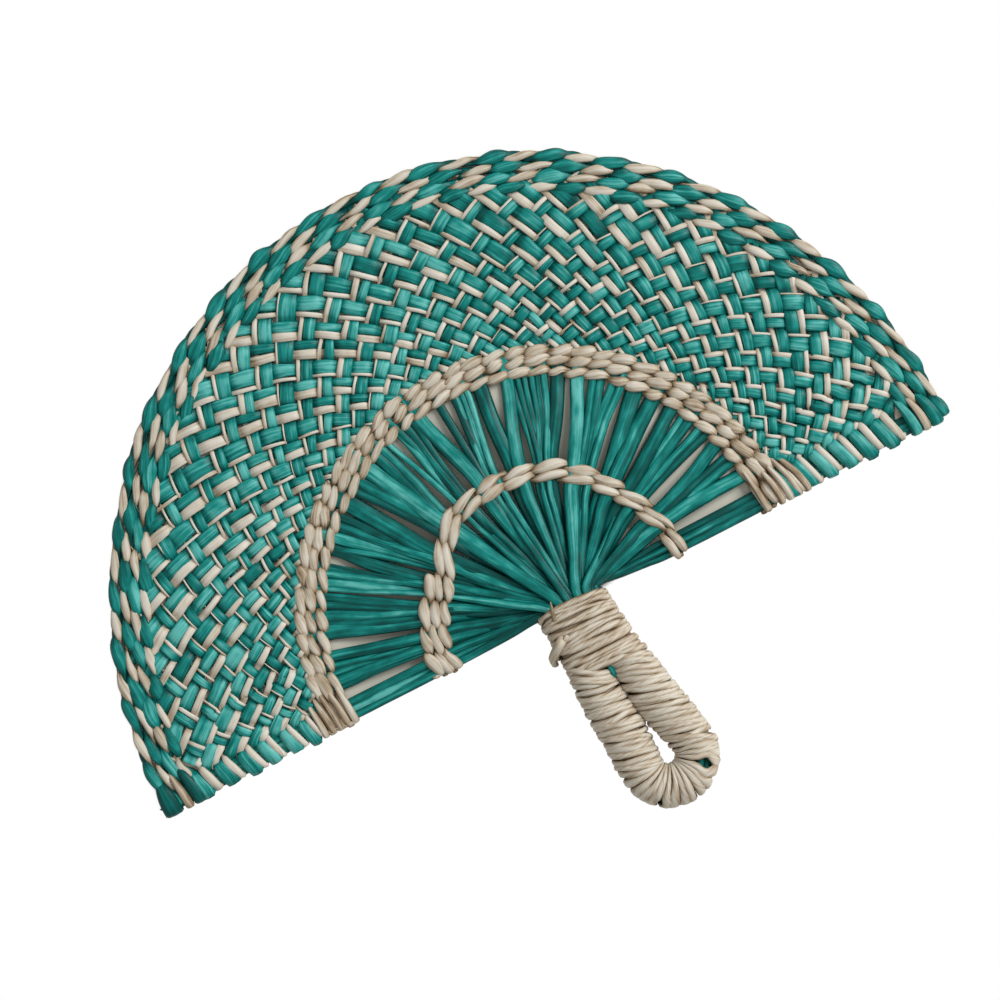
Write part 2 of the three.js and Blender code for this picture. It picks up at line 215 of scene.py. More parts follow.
def dye(red, green, blue):
    """A colour of the paint chart, 0 to 255, as a shader takes it."""
    levels = [value / 255 for value in (red, green, blue)]
    return [v / 12.92 if v <= 0.04045 else ((v + 0.055) / 1.055) ** 2.4 for v in levels] + [1]


FIBRE = 0.22, 9
LOW_RIB = 0.8, 40
BLOTCH = 3, 9
SHADE_LEVELS = 0.1, 0.38, 0.62, 0.92
RELIEF = 0.35 * MM


def straw_finish(name, shades, gloss, shine, spread):
    """Split palm straw: fine fibres and low ribs along it, blotches of colour, a satin face, and
    the darkening laid on each straw: wear and painted shade on its edges, painted shade where it dives."""
    material = bpy.data.materials.new(name)
    material.use_nodes = True
    tree = material.node_tree
    shader = tree.nodes["Principled BSDF"]
    shader.inputs["Specular IOR Level"].default_value = shine
    shade = Shade(tree)
    place = shade.add("ShaderNodeUVMap", {"uv_map": "straw"}, {})
    across = shade.add("ShaderNodeSeparateXYZ", {}, {0: place}, "X")
    along = shade.add("ShaderNodeSeparateXYZ", {}, {0: place}, "Y")
    tone = shade.add("ShaderNodeAttribute", {"attribute_name": "tone"}, {}, "Fac")
    edge = shade.add("ShaderNodeAttribute", {"attribute_name": "edge"}, {}, "Fac")

    def grain(size, layer, detail):
        """Marks of a size across and along the straw, in another place on each straw."""
        wide, long = size
        spot = {0: across / wide, 1: along / long, 2: tone * layer}
        spot = shade.add("ShaderNodeCombineXYZ", {}, spot)
        return shade.add("ShaderNodeTexNoise", {}, {"Vector": spot, "Scale": 1, "Detail": detail}) - 0.5

    fibre = grain(FIBRE, 57, 2)
    ribs = grain(LOW_RIB, 31, 1)
    blotch = grain(BLOTCH, 91, 2)
    # The straw's own darkening, partly wear and partly painted shade, is taken off the level here.
    level = 0.5 + fibre * 0.5 + ribs * 0.8 + blotch * 0.8 + (tone - 0.5) * spread - edge
    stops = list(zip(SHADE_LEVELS, shades))
    colour = shade.add("ShaderNodeValToRGB", {"stops": stops}, {0: level})
    height = ribs * 0.7 + fibre * 0.3
    bump = shade.add("ShaderNodeBump", {}, {"Strength": 0.6, "Distance": RELIEF, "Height": height})
    tree.links.new(colour.socket, shader.inputs["Base Color"])
    tree.links.new((gloss + fibre * 0.25).socket, shader.inputs["Roughness"])
    tree.links.new(bump.socket, shader.inputs["Normal"])
    return material


TEAL_SHADES = dye(0, 70, 66), dye(0, 104, 98), dye(22, 137, 129), dye(94, 182, 174)
finishes["teal_straw"] = straw_finish("dyed_palm_straw", TEAL_SHADES, gloss=0.36, shine=0.2, spread=0.6)


def leg_x(y):
    """How far a leg of the handle stands from its middle line: pinched by the neck winding,
    then close to the other leg, and apart at the foot."""
    pinched = mix(NECK_LEG_X, EYE_LEG_X, ease(PINCH_Y, PARTING_Y, y))
    apart = max((PARTING_Y - y) / (PARTING_Y - FOOT_Y), 0) ** PARTING_CURVE
    return pinched + (FOOT_R - EYE_LEG_X) * apart


LEG_LENGTH = LEG_TOP - FOOT_Y
FOOT_LENGTH = math.pi * FOOT_R
LOOP_LENGTH = 2 * LEG_LENGTH + FOOT_LENGTH


def loop_point(s):
    """A point of the loop's middle line, s from the top of the right leg. Its foot hangs a
    little to the right."""
    angle = min(max((s - LEG_LENGTH) / FOOT_R, 0), math.pi)
    y = FOOT_Y - FOOT_R * math.sin(angle)
    x = FOOT_R * math.cos(angle)
    if s < LEG_LENGTH:
        y = LEG_TOP - s
        x = leg_x(y)
    if s > LEG_LENGTH + FOOT_LENGTH:
        y = FOOT_Y + s - LEG_LENGTH - FOOT_LENGTH
        x = -leg_x(y)
    return Vector((x + FOOT_DRIFT * ease(DRIFT_FROM, DRIFT_TO, y), y, 0))


def loop_frame(s):
    """That point, the way along the loop and the way to its outer side."""
    along = (loop_point(s + 0.5) - loop_point(s - 0.5)).normalized()
    return loop_point(s), along, along.cross(UP) * -1


def at_handle(x, y, z):
    return HANDLE_AT @ Vector((x, y, z))


def turn_handle(way):
    return HANDLE_AT.to_3x3() @ way


core = new_bundle()
for straw in range(CORE_STRAWS):
    route = []
    for step in range(CORE_STEPS + 1):
        s = LOOP_LENGTH * step / CORE_STEPS
        middle, along, side = loop_frame(s)
        angle = 2 * math.pi * straw / CORE_STRAWS + 0.2 * sway(straw, s * 0.03)
        out = side * math.cos(angle) + UP * math.sin(angle)
        middle = HANDLE_AT @ (middle + out * CORE_R)
        route.append((middle, turn_handle(out), CORE_STRAW_W, CORE_STRAW_THICK))
    lay_straw(core, route, luck.random())
route = []
for on in range(-5, 6):
    middle = at_handle(STRAY_END.x, STRAY_END.y - on, STRAY_END.z - STRAY_END_BEND * on ** 2)
    route.append((middle, turn_handle(UP), STRAY_END_W, STRAY_END_THICK))
lay_straw(core, route, 0.6)
finish_piece("handle_core_straws", core, "teal_straw", "handle_core")

# Spokes and ribs: the rays of the fan, each one to three teal straws side by side, round on the
# right and flatter on the left. They lie heaped in the neck, are gathered in groups by the inner
# band and spread evenly at the middle band. Thicker bundles make the ribs of the straight edge.
LEAF_Z = 1.7
INNER_Z = 5
INNER_R = 52
INNER_DIP = 8
INNER_DIP_FROM = math.radians(112)
INNER_DIP_TO = math.radians(144)
INNER_LEFT_RISE = 3.5
INNER_RIGHT_DIP = 2.4
INNER_RIGHT_DIP_AT = 0.57
INNER_RIGHT_DIP_HALF = 0.3
INNER_WIDTH = 9.3
SPOKES = 34
POSTS = SPOKES + 2
GROUPS = 13
FIRST_SPOKE = math.radians(8)
GATHERED = math.radians(2.9)
RIM_A = 186
RIM_B = 194.5
RIM_SHIFT = -2
HEAP_HALF = 12.8
HEAP_RISE = 5.4
HEAP_ORDER = (0, 3, 1, 4, 2, 5)
SPOKE_END = 110.5
RIB_STRAWS = (3.6, 3.2, 3.4)
ROUND_STRAWS = ((6.0,), (3.6, 3.4), (5.6,), (4.0, 3.0), (3.2, 3.8), (6.4,), (2.9, 2.7, 2.5))
FLAT_STRAWS = ((5.2, 3.3), (3.8, 4.2), (7.0,), (3.2, 4.2, 2.4), (3.8, 3.4), (4.8, 3.6))
STRAY_SHARE = 0.12
STRAY = 3.6
HEAP_STRAW_W = 3.6
HEAP_THICK = 2.1
RIB_THICK = 1.9
FLAT_THICK = 1.5
ROUND_THICK_SHARE = 0.62
MOST_THICK = 2.7
BAND_THICK = 1.7
RIB_SPREAD = 0.84
RIB_GATHER = 0.8
RIB_TAPER = 0.8
SPOKE_SPREAD = 0.94
SPOKE_GATHER = 0.6
SPOKE_SWELL = 1.09
STAGGER = 0.7
JOLT = 0.6


def leaf(radius, angle, z):
    """A point of the leaf in a direction from the hub, counted from the right rib."""
    return Vector((radius * math.cos(angle), radius * math.sin(angle), z))


def curve(points, steps):
    """A smooth line through points, with so many steps between two of them."""
    line = []
    for i in range(len(points) - 1):
        before = points[max(i - 1, 0)]
        a = points[i]
        b = points[i + 1]
        after = points[min(i + 2, len(points) - 1)]
        for step in range(steps):
            t = step / steps
            line.append(0.5 * (2 * a + (b - before) * t + (2 * before - 5 * a + 4 * b - after) * t * t
                               + (3 * a - before - 3 * b + after) * t ** 3))
    return line + [points[-1]]


def inner_near(angle):
    """Near side of the inner band, which sinks towards the hub on the left and a little on the
    right."""
    dip = INNER_DIP * ease(INNER_DIP_FROM, INNER_DIP_TO, angle)
    dip += INNER_RIGHT_DIP * math.exp(-((angle - INNER_RIGHT_DIP_AT) / INNER_RIGHT_DIP_HALF) ** 2)
    return INNER_R - dip + INNER_LEFT_RISE * ease(INNER_DIP_TO, math.pi, angle)


def spread_angle(post):
    if post in (0, POSTS - 1):
        return 0 if post == 0 else math.pi
    return mix(FIRST_SPOKE, math.pi - FIRST_SPOKE, (post - 1) / (SPOKES - 1))


def group_of(post):
    return (post - 1) * GROUPS // SPOKES


def gathered_angle(post):
    if post in (0, POSTS - 1):
        return spread_angle(post)
    group = [k for k in range(1, SPOKES + 1) if group_of(k) == group_of(post)]
    middle = (spread_angle(group[0]) + spread_angle(group[-1])) / 2
    return middle + (post - (group[0] + group[-1]) / 2) * GATHERED


def beside(radius, angle, shift, z):
    """A point of the leaf, moved aside to the left of the way out from the hub."""
    return leaf(radius, angle, z) + leaf(shift, angle + math.pi / 2, 0)


for post in range(POSTS):
    rib = post in (0, POSTS - 1)
    near = gathered_angle(post)
    far = spread_angle(post)
    aside = 1 - 2 * post / (POSTS - 1)
    flatness = ease(0.1, -0.4, aside)
    layer = HEAP_ORDER[post % len(HEAP_ORDER)] / 2.5 - 1
    widths = RIB_STRAWS if rib else luck.choice(FLAT_STRAWS if flatness > 0.5 else ROUND_STRAWS)
    band_r = inner_near(near)
    lane = -sum(widths) / 2
    jolt = [0 if rib else luck.uniform(-JOLT, JOLT) for _ in range(4)]
    spoke = new_bundle()
    for straw, body in enumerate(widths):
        lane += body / 2
        spread = lane * (RIB_SPREAD if rib else SPOKE_SPREAD)
        gathered = lane * (RIB_GATHER if rib else SPOKE_GATHER)
        lane += body / 2
        level = STAGGER * (1 if (straw + post) % 2 else -1)
        heap = HEAP_RISE * (layer + 0.06 * spread) * math.sqrt(1 - 0.85 * aside * aside)
        mouth_x = HEAP_HALF * aside - 0.3 * spread
        strays = luck.random() < STRAY_SHARE
        stray = luck.choice((-STRAY, STRAY))
        if strays and 2 < post < POSTS - 3:
            spread += stray
        mouth = at_handle(mouth_x, 2.5 * (1 - aside * aside) - 0.5, heap)
        band_in = beside(band_r - 3, near, gathered + jolt[0], INNER_Z + level)
        halfway = mix(near, far, 0.55)
        half_lane = mix(gathered, spread, 0.5) + jolt[1]
        points = [
            at_handle(mouth_x * 0.86, -14, heap * 0.9),
            at_handle(mouth_x * 0.97, -6, heap),
            mouth,
            mouth.lerp(band_in, 0.4),
            mouth.lerp(band_in, 0.75),
            band_in,
            beside(band_r + INNER_WIDTH + 2, near, gathered + jolt[0], INNER_Z + level),
            beside(80, halfway, half_lane, mix(INNER_Z, LEAF_Z, 0.55)),
            beside(95, far, spread + jolt[2] * 0.6, LEAF_Z + 0.3 * level),
        ]
        if rib:
            end = RIM_A + RIM_SHIFT * math.cos(far) - 2
            points += [beside(r, far, spread * RIB_TAPER, LEAF_Z) for r in (116, 140, 165, end)]
        else:
            points.append(beside(SPOKE_END, far, spread + jolt[3] * 0.6, LEAF_Z))
        body_thick = min(mix(ROUND_THICK_SHARE * body, FLAT_THICK, flatness), MOST_THICK)
        if rib:
            body_thick = RIB_THICK
        line = curve(points, 6)
        route = []
        stop_darkening = []
        for i, middle in enumerate(line):
            reach = middle.xy.length
            width = mix(max(HEAP_STRAW_W, 0.8 * body), body, ease(20, 48, reach))
            swell = mix(1, SPOKE_SWELL, ease(50, 75, reach))
            width *= (1 + 0.1 * sway(post * 5 + straw, i * 0.06)) * swell
            thick = mix(HEAP_THICK, body_thick, ease(20, 60, reach))
            thick = mix(thick, min(thick, BAND_THICK), ease(85, 95, reach))
            roll = 0.3 * sway(post * 3 + straw + 0.4, i * 0.08)
            out = UP + leaf(roll, far + math.pi / 2, 0)
            route.append((middle, out.normalized(), width, thick))
            # Each straw is darker towards the neck and a little lighter outwards; its edges carry wear
            # and painted shade.
            stop_darkening.append(mix(0.12, -0.1, ease(15, 65, reach)))
        # Straws lower in the heap get a darker tone: painted shade.
        tone = luck.uniform(-0.2, 0.42) + 0.28 * (layer + 1)
        lay_straw(spoke, route, tone, flat=mix(1, 0.7, flatness), edge_wear_and_shade=0.45, stop_darkening=stop_darkening)
    if rib:
        side = "right" if post == 0 else "left"
        finish_piece(f"rib_{side}_straws", spoke, "teal_straw", f"rib_{side}")
    else:
        finish_piece(f"spoke_{post:02d}_straws", spoke, "teal_straw", f"spoke_{post:02d}")

# Inner band: two rows of natural straw twined round the gathered groups of spokes, with a short
# third row by the left rib. Each row has two straws that pass over one group and under the next,
# and cross between them. Both wrap round the rib at each end.
NATURAL_SHADES = dye(122, 99, 71), dye(177, 160, 136), dye(202, 193, 176), dye(216, 210, 198)
finishes["natural_straw"] = straw_finish("natural_palm_straw", NATURAL_SHADES,
                                         gloss=0.52, shine=0.3, spread=0.4)
INNER_ROWS = (2.5, 6.5)
INNER_THIRD = 10.4
INNER_SLIM = 0.82
Twine = namedtuple("Twine", "swing rise over_w cross_w thick reach tone")
INNER_TWINE = Twine(swing=1.1, rise=2.0, over_w=4.8, cross_w=2.2, thick=2.1, reach=4.9, tone=0.85)


def twine(bundle, radius_at, z, posts, sign, shape, seed, girth=lambda angle: 1):
    """Lays one of a row's two straws round its posts, given by angle from right to left. It is
    broad where it passes over a post and narrow where it dives, and its ends go round the rib."""
    swing, rise, over_w, cross_w, thick, reach, tone = shape
    steps = 10
    over_end = 0.72 if sign > 0 else 0.5
    first = -over_end
    last = len(posts) - 1 + over_end
    total = round((last - first) * steps)
    route = []
    stop_darkening = []
    for step in range(total + 1):
        p = mix(first, last, step / total)
        inside = min(max(p, 0), len(posts) - 1)
        k = min(int(inside), len(posts) - 2)
        angle = mix(posts[k], posts[k + 1], inside - k)
        angle += 0.14 * (posts[1] - posts[0]) * sway(seed + 3, p * 0.7)
        radius = radius_at(angle)
        past = p - inside
        angle += math.sin(math.pi * past) * reach / radius
        lift = sign * math.cos(math.pi * p)
        held = (lift + 0.2) / 1.2
        full = abs(held) ** 0.55
        side = -sign * math.sin(math.pi * p)
        wander = 0.35 * sway(seed, p * 0.6) + 0.42 * sway(seed + 2, p * 1.6)
        up = rise * math.copysign(full, held) * (1 if held > 0 else 0.72)
        middle = leaf(radius + swing * side + wander, angle, z + up)
        out = UP + leaf(0.3 * side + 0.3 * sway(seed + 7, p * 1.3), angle, 0)
        if past:
            end_sign = sign if past < 0 else sign * (-1) ** (len(posts) - 1)
            edge = leaf(math.sin(math.pi * abs(past)), angle + math.copysign(math.pi / 2, past), 0)
            out = end_sign * (UP * lift + edge)
        width = mix(cross_w, over_w if held > 0 or past else over_w * 0.7, abs(held) ** 0.75)
        width *= girth(angle) * (1 + 0.24 * sway(seed + 5, p * 1.1))
        deep = thick * mix(0.75, 1, full) * (1 if held > 0 else 0.7)
        route.append((middle, out.normalized(), width, deep))
        # Darker where it dives below the crossing straw, painted shade, and a little lighter where it
        # lies on top.
        stop_darkening.append(0.36 * ease(0.7, 0, held) - 0.05)
    lay_straw(bundle, route, tone + luck.uniform(-0.25, 0.25), flat=0.9, edge_wear_and_shade=0.3, stop_darkening=stop_darkening)


def inner_girth(angle):
    """The band is slimmer towards its right end."""
    return mix(INNER_SLIM, 1, ease(0.2, 1.2, angle))


inner_posts = [0]
for group in range(GROUPS):
    held = [gathered_angle(k) for k in range(1, SPOKES + 1) if group_of(k) == group]
    inner_posts.append(sum(held) / len(held))
inner_posts.append(math.pi)
for row, offset in enumerate(INNER_ROWS, 1):
    for strand, sign in (("a", 1), ("b", -1)):
        straws = new_bundle()
        way = sign if row % 2 else -sign
        twine(straws, lambda angle: inner_near(angle) + offset * inner_girth(angle), INNER_Z,
              inner_posts, way, INNER_TWINE, row * 3 + sign, inner_girth)
        if row == 2:
            twine(straws, lambda angle: inner_near(angle) + INNER_THIRD, INNER_Z,
                  inner_posts[-4:], sign, INNER_TWINE, 17 + sign)
        node = f"inner_band_row_{row}_{strand}"
        finish_piece(f"inner_twine_{row}_{strand}", straws, "natural_straw", node)

# Middle band: three rows of the same twining round every spoke, the outer two close together.
# It holds the spokes at an even spread, where their ends turn aside into the woven panel.
# Where it meets the ribs, its ends are wrapped round them side by side.
MIDDLE_ROWS = (98.2, 103.1, 107.0)
INNERMOST_TWINE = Twine(swing=1.0, rise=1.3, over_w=4.3, cross_w=2.7, thick=1.8, reach=4.9, tone=0.5)
OUTER_TWINE = Twine(swing=1.1, rise=1.3, over_w=4.9, cross_w=3.1, thick=1.9, reach=4.9, tone=0.5)
END_WRAP_W = 3.3
MIDDLE_DRIFT = -1.2, 1.4
WRAP_THICK = 1.9
WRAP_UNDER_THICK = 0.9
WRAP_RISES = -0.3, 2.1, 2.4
WRAP_ROUND = ((-3.2, 1.8), (-5.2, 0.1), (-3.2, -1.1), (4, -1.1))


def middle_drift(angle):
    """The band lies a little nearer the hub on the right than on the left."""
    return mix(*MIDDLE_DRIFT, ease(0, 2.1, angle))


def wrap_rib(bundle, side, start, edge, width, tone):
    """Lays a straw from a start on the leaf, given along and above the rib, down over the rib
    at a distance from the hub, round the straight edge and back below."""
    along, above = start
    points = []
    for share, rise in zip((0, 0.3, 0.75), WRAP_RISES):
        points.append(Vector((side * mix(along, edge, share), mix(above, 0, share), LEAF_Z + rise)))
    for y, rise in WRAP_ROUND:
        points.append(Vector((side * edge, y, LEAF_Z + rise)))
    outs = [UP, UP, UP, Vector((0, -0.7, 0.7)), Vector((0, -1, 0)), Vector((0, -0.7, -0.7)), -UP]
    steps = 4
    route = []
    for i, middle in enumerate(curve(points, steps)):
        out = curve(outs, steps)[i].normalized()
        broad = mix(0.55, 1, ease(0, 11, i))
        route.append((middle, out, width * broad, mix(WRAP_THICK, WRAP_UNDER_THICK, ease(16, 20, i))))
    lay_straw(bundle, route, tone, flat=0.9, edge_wear_and_shade=0.4)


middle_posts = [spread_angle(post) for post in range(POSTS)]
for row, radius in enumerate(MIDDLE_ROWS, 1):
    for strand, sign in (("a", 1), ("b", -1)):
        straws = new_bundle()
        way = sign if row % 2 else -sign
        twine(straws, lambda angle: radius + middle_drift(angle), LEAF_Z, middle_posts, way,
              INNERMOST_TWINE if row == 1 else OUTER_TWINE, row * 5 + sign)
        node = f"middle_band_row_{row}_{strand}"
        finish_piece(f"middle_twine_{row}_{strand}", straws, "natural_straw", node)
LEFT_WRAPS = ((99, 13, 98), (103, 12, 101.5), (107, 13, 105), (110, 11, 108.5), (113, 10, 112))
RIGHT_WRAPS = ((95, 17, 97.5), (102, 12, 104.5), (105, 13, 108.5), (108, 14, 112.5), (111, 13, 116.5))
for side, wraps in ((-1, LEFT_WRAPS), (1, RIGHT_WRAPS)):
    straws = new_bundle()
    for along, above, edge in wraps:
        wrap_rib(straws, side, (along, above), edge, END_WRAP_W * luck.uniform(0.9, 1.1), luck.random())
    end = "right" if side > 0 else "left"
    finish_piece(f"middle_end_{end}", straws, "natural_straw", "middle_band_row_3_a")

# Woven panel and selvedge: pairs of straws, one teal and one natural, run out from the middle
# band at about 45 degrees to the spokes, half to the left and half to the right, each over one
# and under one. At the straight edge a pair folds round the rib and goes back into the weave.
PAIRS = 36
PAIR_STEP = math.pi / PAIRS
LEVELS = 12
SWEEP = LEVELS * PAIR_STEP / 2
PANEL_R = 110.3
PANEL_INSET = 18
PANEL_START = -0.06
PANEL_END = 1.12
WEAVE_RISE = 1.3
WEAVE_DROP = 0.85
WEAVE_THICK = 1.3
FOLD_REACH = 26
FOLD_OUT = 4.8
FOLD_RISE = 1.6
FOLD_DROP = 0.7
FOLD_LEAN = 0.3
FOLD_SHIFT = 1.5
FOLD_THICK = 2.7
FOLD_TEAL_SHARE = 0.63
FOLD_CREAM_SHARE = 0.35
FOLD_TEAL_OUT = 0.6
FOLD_CREAM_OUT = -0.5
FOLD_TURN_RISE = 0.6
RIGHT_FOLD_STRETCH = 0.75
UNEVEN_TOP_AT = 0.38
UNEVEN_TOP_HALF = 0.16
UNEVEN_LEFT = 0.6, 0.76
SLIM_FILL = 0.88, 0.58
BROAD_FILL = 0.9, 1.02
CREAM_SHARES = 0.18, 0.48
TEAL_TONES = 0.45, 1.0
CREAM_TONES = 0.65, 1.2
START_JITTER = math.radians(0.35)
STEPS_PER_LEVEL = 8
FOLD_STEPS = 24


def rim_radius(angle, inset):
    """How far the rim is from the hub in a direction, less an inset."""
    a = RIM_A - inset
    b = RIM_B - inset
    return a * b / math.hypot(b * math.cos(angle), a * math.sin(angle)) + RIM_SHIFT * math.cos(angle)


def pair_straw(start, way, teal, cream_share, seed):
    """The route of one straw of a pair that starts at an angle and turns left (1) or right (-1), and
    the darkening at each stop: painted shade where it lies low and a painted highlight on its
    crests. On the left the pairs that fall that way are broad and ride high, the others slim."""
    edge = math.pi if way > 0 else 0
    over = -way
    meets_edge = way * (edge - start) / SWEEP
    end = PANEL_END if abs(meets_edge - 1.1) > 0.1 else meets_edge - 0.1
    steps = FOLD_STEPS if meets_edge < 1 else STEPS_PER_LEVEL
    total = round((end - PANEL_START) * LEVELS * steps)
    route = []
    stop_darkening = []
    for step in range(total + 1):
        share = mix(PANEL_START, end, step / total)
        angle = start + way * SWEEP * share
        true_angle = abs(angle) if way < 0 else math.pi - abs(math.pi - angle)
        growth = math.log(rim_radius(true_angle, PANEL_INSET) / PANEL_R)
        radius = PANEL_R * math.exp(growth * share)
        steep = math.atan2(SWEEP, growth)
        out_way = math.cos(steep)
        turn_way = math.sin(steep) * way
        before = way * (edge - angle) * radius
        leftness = true_angle / math.pi
        falling = 0.5 + 0.5 * way * math.tanh(before / 4)
        uneven = ease(0.3, 0.7, share) * math.exp(-((leftness - UNEVEN_TOP_AT) / UNEVEN_TOP_HALF) ** 2)
        uneven += ease(0, 0.3, share) * ease(*UNEVEN_LEFT, leftness)
        fill = mix(mix(*SLIM_FILL, uneven), mix(*BROAD_FILL, uneven), falling)
        cream = cream_share + mix(-0.06, 0.02, falling) + 0.05 * sway(seed // 2 + 0.5, share * 5)
        pair_w = radius * PAIR_STEP * out_way * fill
        width = pair_w * (1 - cream if teal else cream)
        lane = pair_w * (cream / 2 if teal else (cream - 1) / 2)
        lane += 0.5 * sway(seed // 2, share * 7) + 0.25 * sway(seed, share * 9)
        width *= 1 + 0.17 * sway(seed + 9, share * 7)
        radius += lane * turn_way
        angle -= lane * out_way / radius
        before = way * (edge - angle) * radius
        lift = way * math.copysign(1, before) * math.cos(LEVELS * math.pi * share)
        lift = math.tanh(1.2 * (lift + mix(-0.2, 0.3, falling) * uneven)) / math.tanh(1.2)
        tuck = ease(PANEL_START, 0.03, share) * ease(1.04, 0.97, share)
        z = lift * tuck * (WEAVE_RISE if lift > 0 else WEAVE_DROP)
        thick = WEAVE_THICK
        height = abs(before)
        out = UP * math.copysign(1, before)
        if height < FOLD_REACH:
            near = height / FOLD_REACH
            edge_share = way * (edge - start + lane * out_way / radius) / SWEEP
            edge_radius = PANEL_R * math.exp(growth * edge_share) + lane * turn_way - over * FOLD_SHIFT
            rounded = (math.hypot(height, 0.8) - 0.8) / max(height, 0.01)
            bulge = FOLD_OUT + (FOLD_TEAL_OUT if teal else FOLD_CREAM_OUT) + 0.5 * sway(seed + 1, 0.5)
            rush = 0.42 if way > 0 else 0.36
            height = mix(-bulge, FOLD_REACH, near ** mix(rush, 0.85, near) * rounded)
            lean = FOLD_LEAN * (height + bulge) * math.copysign(1, before)
            near *= 1 if way > 0 else RIGHT_FOLD_STRETCH
            radius = mix(edge_radius - lean, radius, ease(0.09, 0.34, near))
            roll = math.tanh(before / 0.9)
            fold_w = growth * 2 / LEVELS * edge_radius * (FOLD_TEAL_SHARE if teal else FOLD_CREAM_SHARE)
            width = mix(fold_w, width, ease(0.03, 0.27, near))
            fold_z = over * roll * (FOLD_RISE if over * roll > 0 else FOLD_DROP)
            fold_z += FOLD_TURN_RISE * (1 - abs(roll))
            z = mix(fold_z, z, ease(0.07, 0.23, near))
            thick = mix(FOLD_THICK if over * roll > 0 else thick, thick, ease(0.08, 0.23, near))
            out = UP * roll + Vector((0, -over * 1.6 * (1 - abs(roll)), 0))
            along_rib = math.sqrt(max(radius * radius - height * height, 0))
            middle = Vector((-way * along_rib, height, LEAF_Z + z))
        else:
            true_angle = abs(angle) if way < 0 else math.pi - abs(math.pi - angle)
            middle = leaf(radius, true_angle, LEAF_Z + z)
        tilt = 0.2 * sway(seed + 4, share * 11) * ease(-0.2, 0.6, lift) * ease(2, 10, abs(before))
        out = out.normalized() + leaf(tilt, true_angle, 0)
        width *= mix(1, 0.7, ease(1, PANEL_END, share))
        thick *= mix(1, 0.6, ease(1, PANEL_END, share))
        route.append((middle, out.normalized(), width, thick))
        # Painted shade where the straw lies low under the crossing pair, a painted highlight on its
        # crest.
        stop_darkening.append((0.3 if teal else 0.2) * ease(0.9, 0, z / WEAVE_RISE) - 0.06)
    return route, stop_darkening


kinds = ("left", "right", "edge_left", "edge_right")
panel = {(kind, teal): new_bundle() for kind in kinds for teal in (0, 1)}
for way in (1, -1):
    side = "left" if way > 0 else "right"
    for pair in range(PAIRS):
        start = (pair + 0.5) * PAIR_STEP + START_JITTER * luck.uniform(-1, 1)
        to_edge = math.pi - start if way > 0 else start
        kind = "edge_" + side if to_edge < SWEEP else side
        cream_share = luck.uniform(*CREAM_SHARES)
        for teal in (0, 1):
            seed = 100 + 4 * pair + 2 * teal + (400 if way > 0 else 0)
            tone = luck.uniform(*(TEAL_TONES if teal else CREAM_TONES))
            route, stop_darkening = pair_straw(start, way, teal, cream_share, seed)
            lay_straw(panel[kind, teal], route, tone, flat=0.65, edge_wear_and_shade=0.2 if teal else 0.1, stop_darkening=stop_darkening)
for (kind, teal), straws in panel.items():
    colour = "teal" if teal else "natural"
    if kind.startswith("edge"):
        side = kind[5:]
        finish_piece(f"selvedge_{side}_{colour}", straws, f"{colour}_straw", f"rib_fold_{side}")
    else:
        finish_piece(f"panel_{kind}_{colour}", straws, f"{colour}_straw", "woven_panel")

# Rim: four rows of twining round the ends of the panel's straws, a teal and a natural straw in
# each row, so that the colours take turns. Each row is shifted against the one below it.
# At both corners a few straws are wrapped over the ends of the rows.
RIM_DEPTHS = (2.7, 7.0, 11.3, 15.6)
RIM_STITCHES = 45
RIM_STAGGER = 0.45
RIM_TWINES = {
    "teal": Twine(swing=1.0, rise=1.2, over_w=6.0, cross_w=2.4, thick=2.1, reach=3.4, tone=0.6),
    "natural": Twine(swing=1.0, rise=1.2, over_w=3.8, cross_w=1.7, thick=1.9, reach=3.4, tone=0.9),
}
for row, depth in enumerate(RIM_DEPTHS, 1):
    shift = RIM_STAGGER * row % 1 - 0.5
    rim_posts = [math.pi * (k + shift * math.sin(math.pi * k / RIM_STITCHES) ** 0.3) / RIM_STITCHES
                 for k in range(RIM_STITCHES + 1)]
    for colour, sign in (("teal", 1), ("natural", -1)):
        straws = new_bundle()
        way = sign if row % 2 else -sign
        twine(straws, lambda angle: rim_radius(angle, depth), LEAF_Z, rim_posts, way,
              RIM_TWINES[colour], row * 11 + sign)
        finish_piece(f"rim_twine_{row}_{colour}", straws, f"{colour}_straw", f"rim_row_{row}")
CORNER_WRAPS = {
    ("left", "teal"): ((184.2, 9, 183.8, 8.2), (174, 12, 171.6, 5.4)),
    ("left", "natural"): ((178.5, 11, 176.6, 3.8),),
    ("right", "teal"): ((175, 10, 178, 6), (166, 12, 168.6, 5)),
    ("right", "natural"): ((170.5, 11, 173.2, 3.8),),
}
for (end, colour), wraps in CORNER_WRAPS.items():
    straws = new_bundle()
    for along, above, edge, width in wraps:
        wrap_rib(straws, 1 if end == "right" else -1, (along, above), edge, width, luck.random())
    finish_piece(f"corner_{end}_{colour}", straws, f"{colour}_straw", f"rib_fold_{end}")

# Neck winding: natural straw wound by hand round the heaped ends of the spokes and the tops of
# both legs. A first layer lies below uneven turns that overlap and leave narrow slits. The straw's
# tail is folded in on the left, and a frayed end stands out of the top.
NECK_TURNS = 12
NECK_UNDER_TURNS = 8
NECK_LATE_TURNS = 5
NECK_TOP = 1.5
NECK_FOOT = -33.5
WRAP_R = 8.2
UNDER_DEPTH = 1.1
TWIST = 0.4
FLAT_BELOW = 7.9
SQUARE = 2 / 2.6
NECK_HALVES = 14.9, 16.0
NECK_LENGTH = 33
NECK_SLANT = -0.07
NECK_TOP_ROUNDING = 3.6
neck = new_bundle()


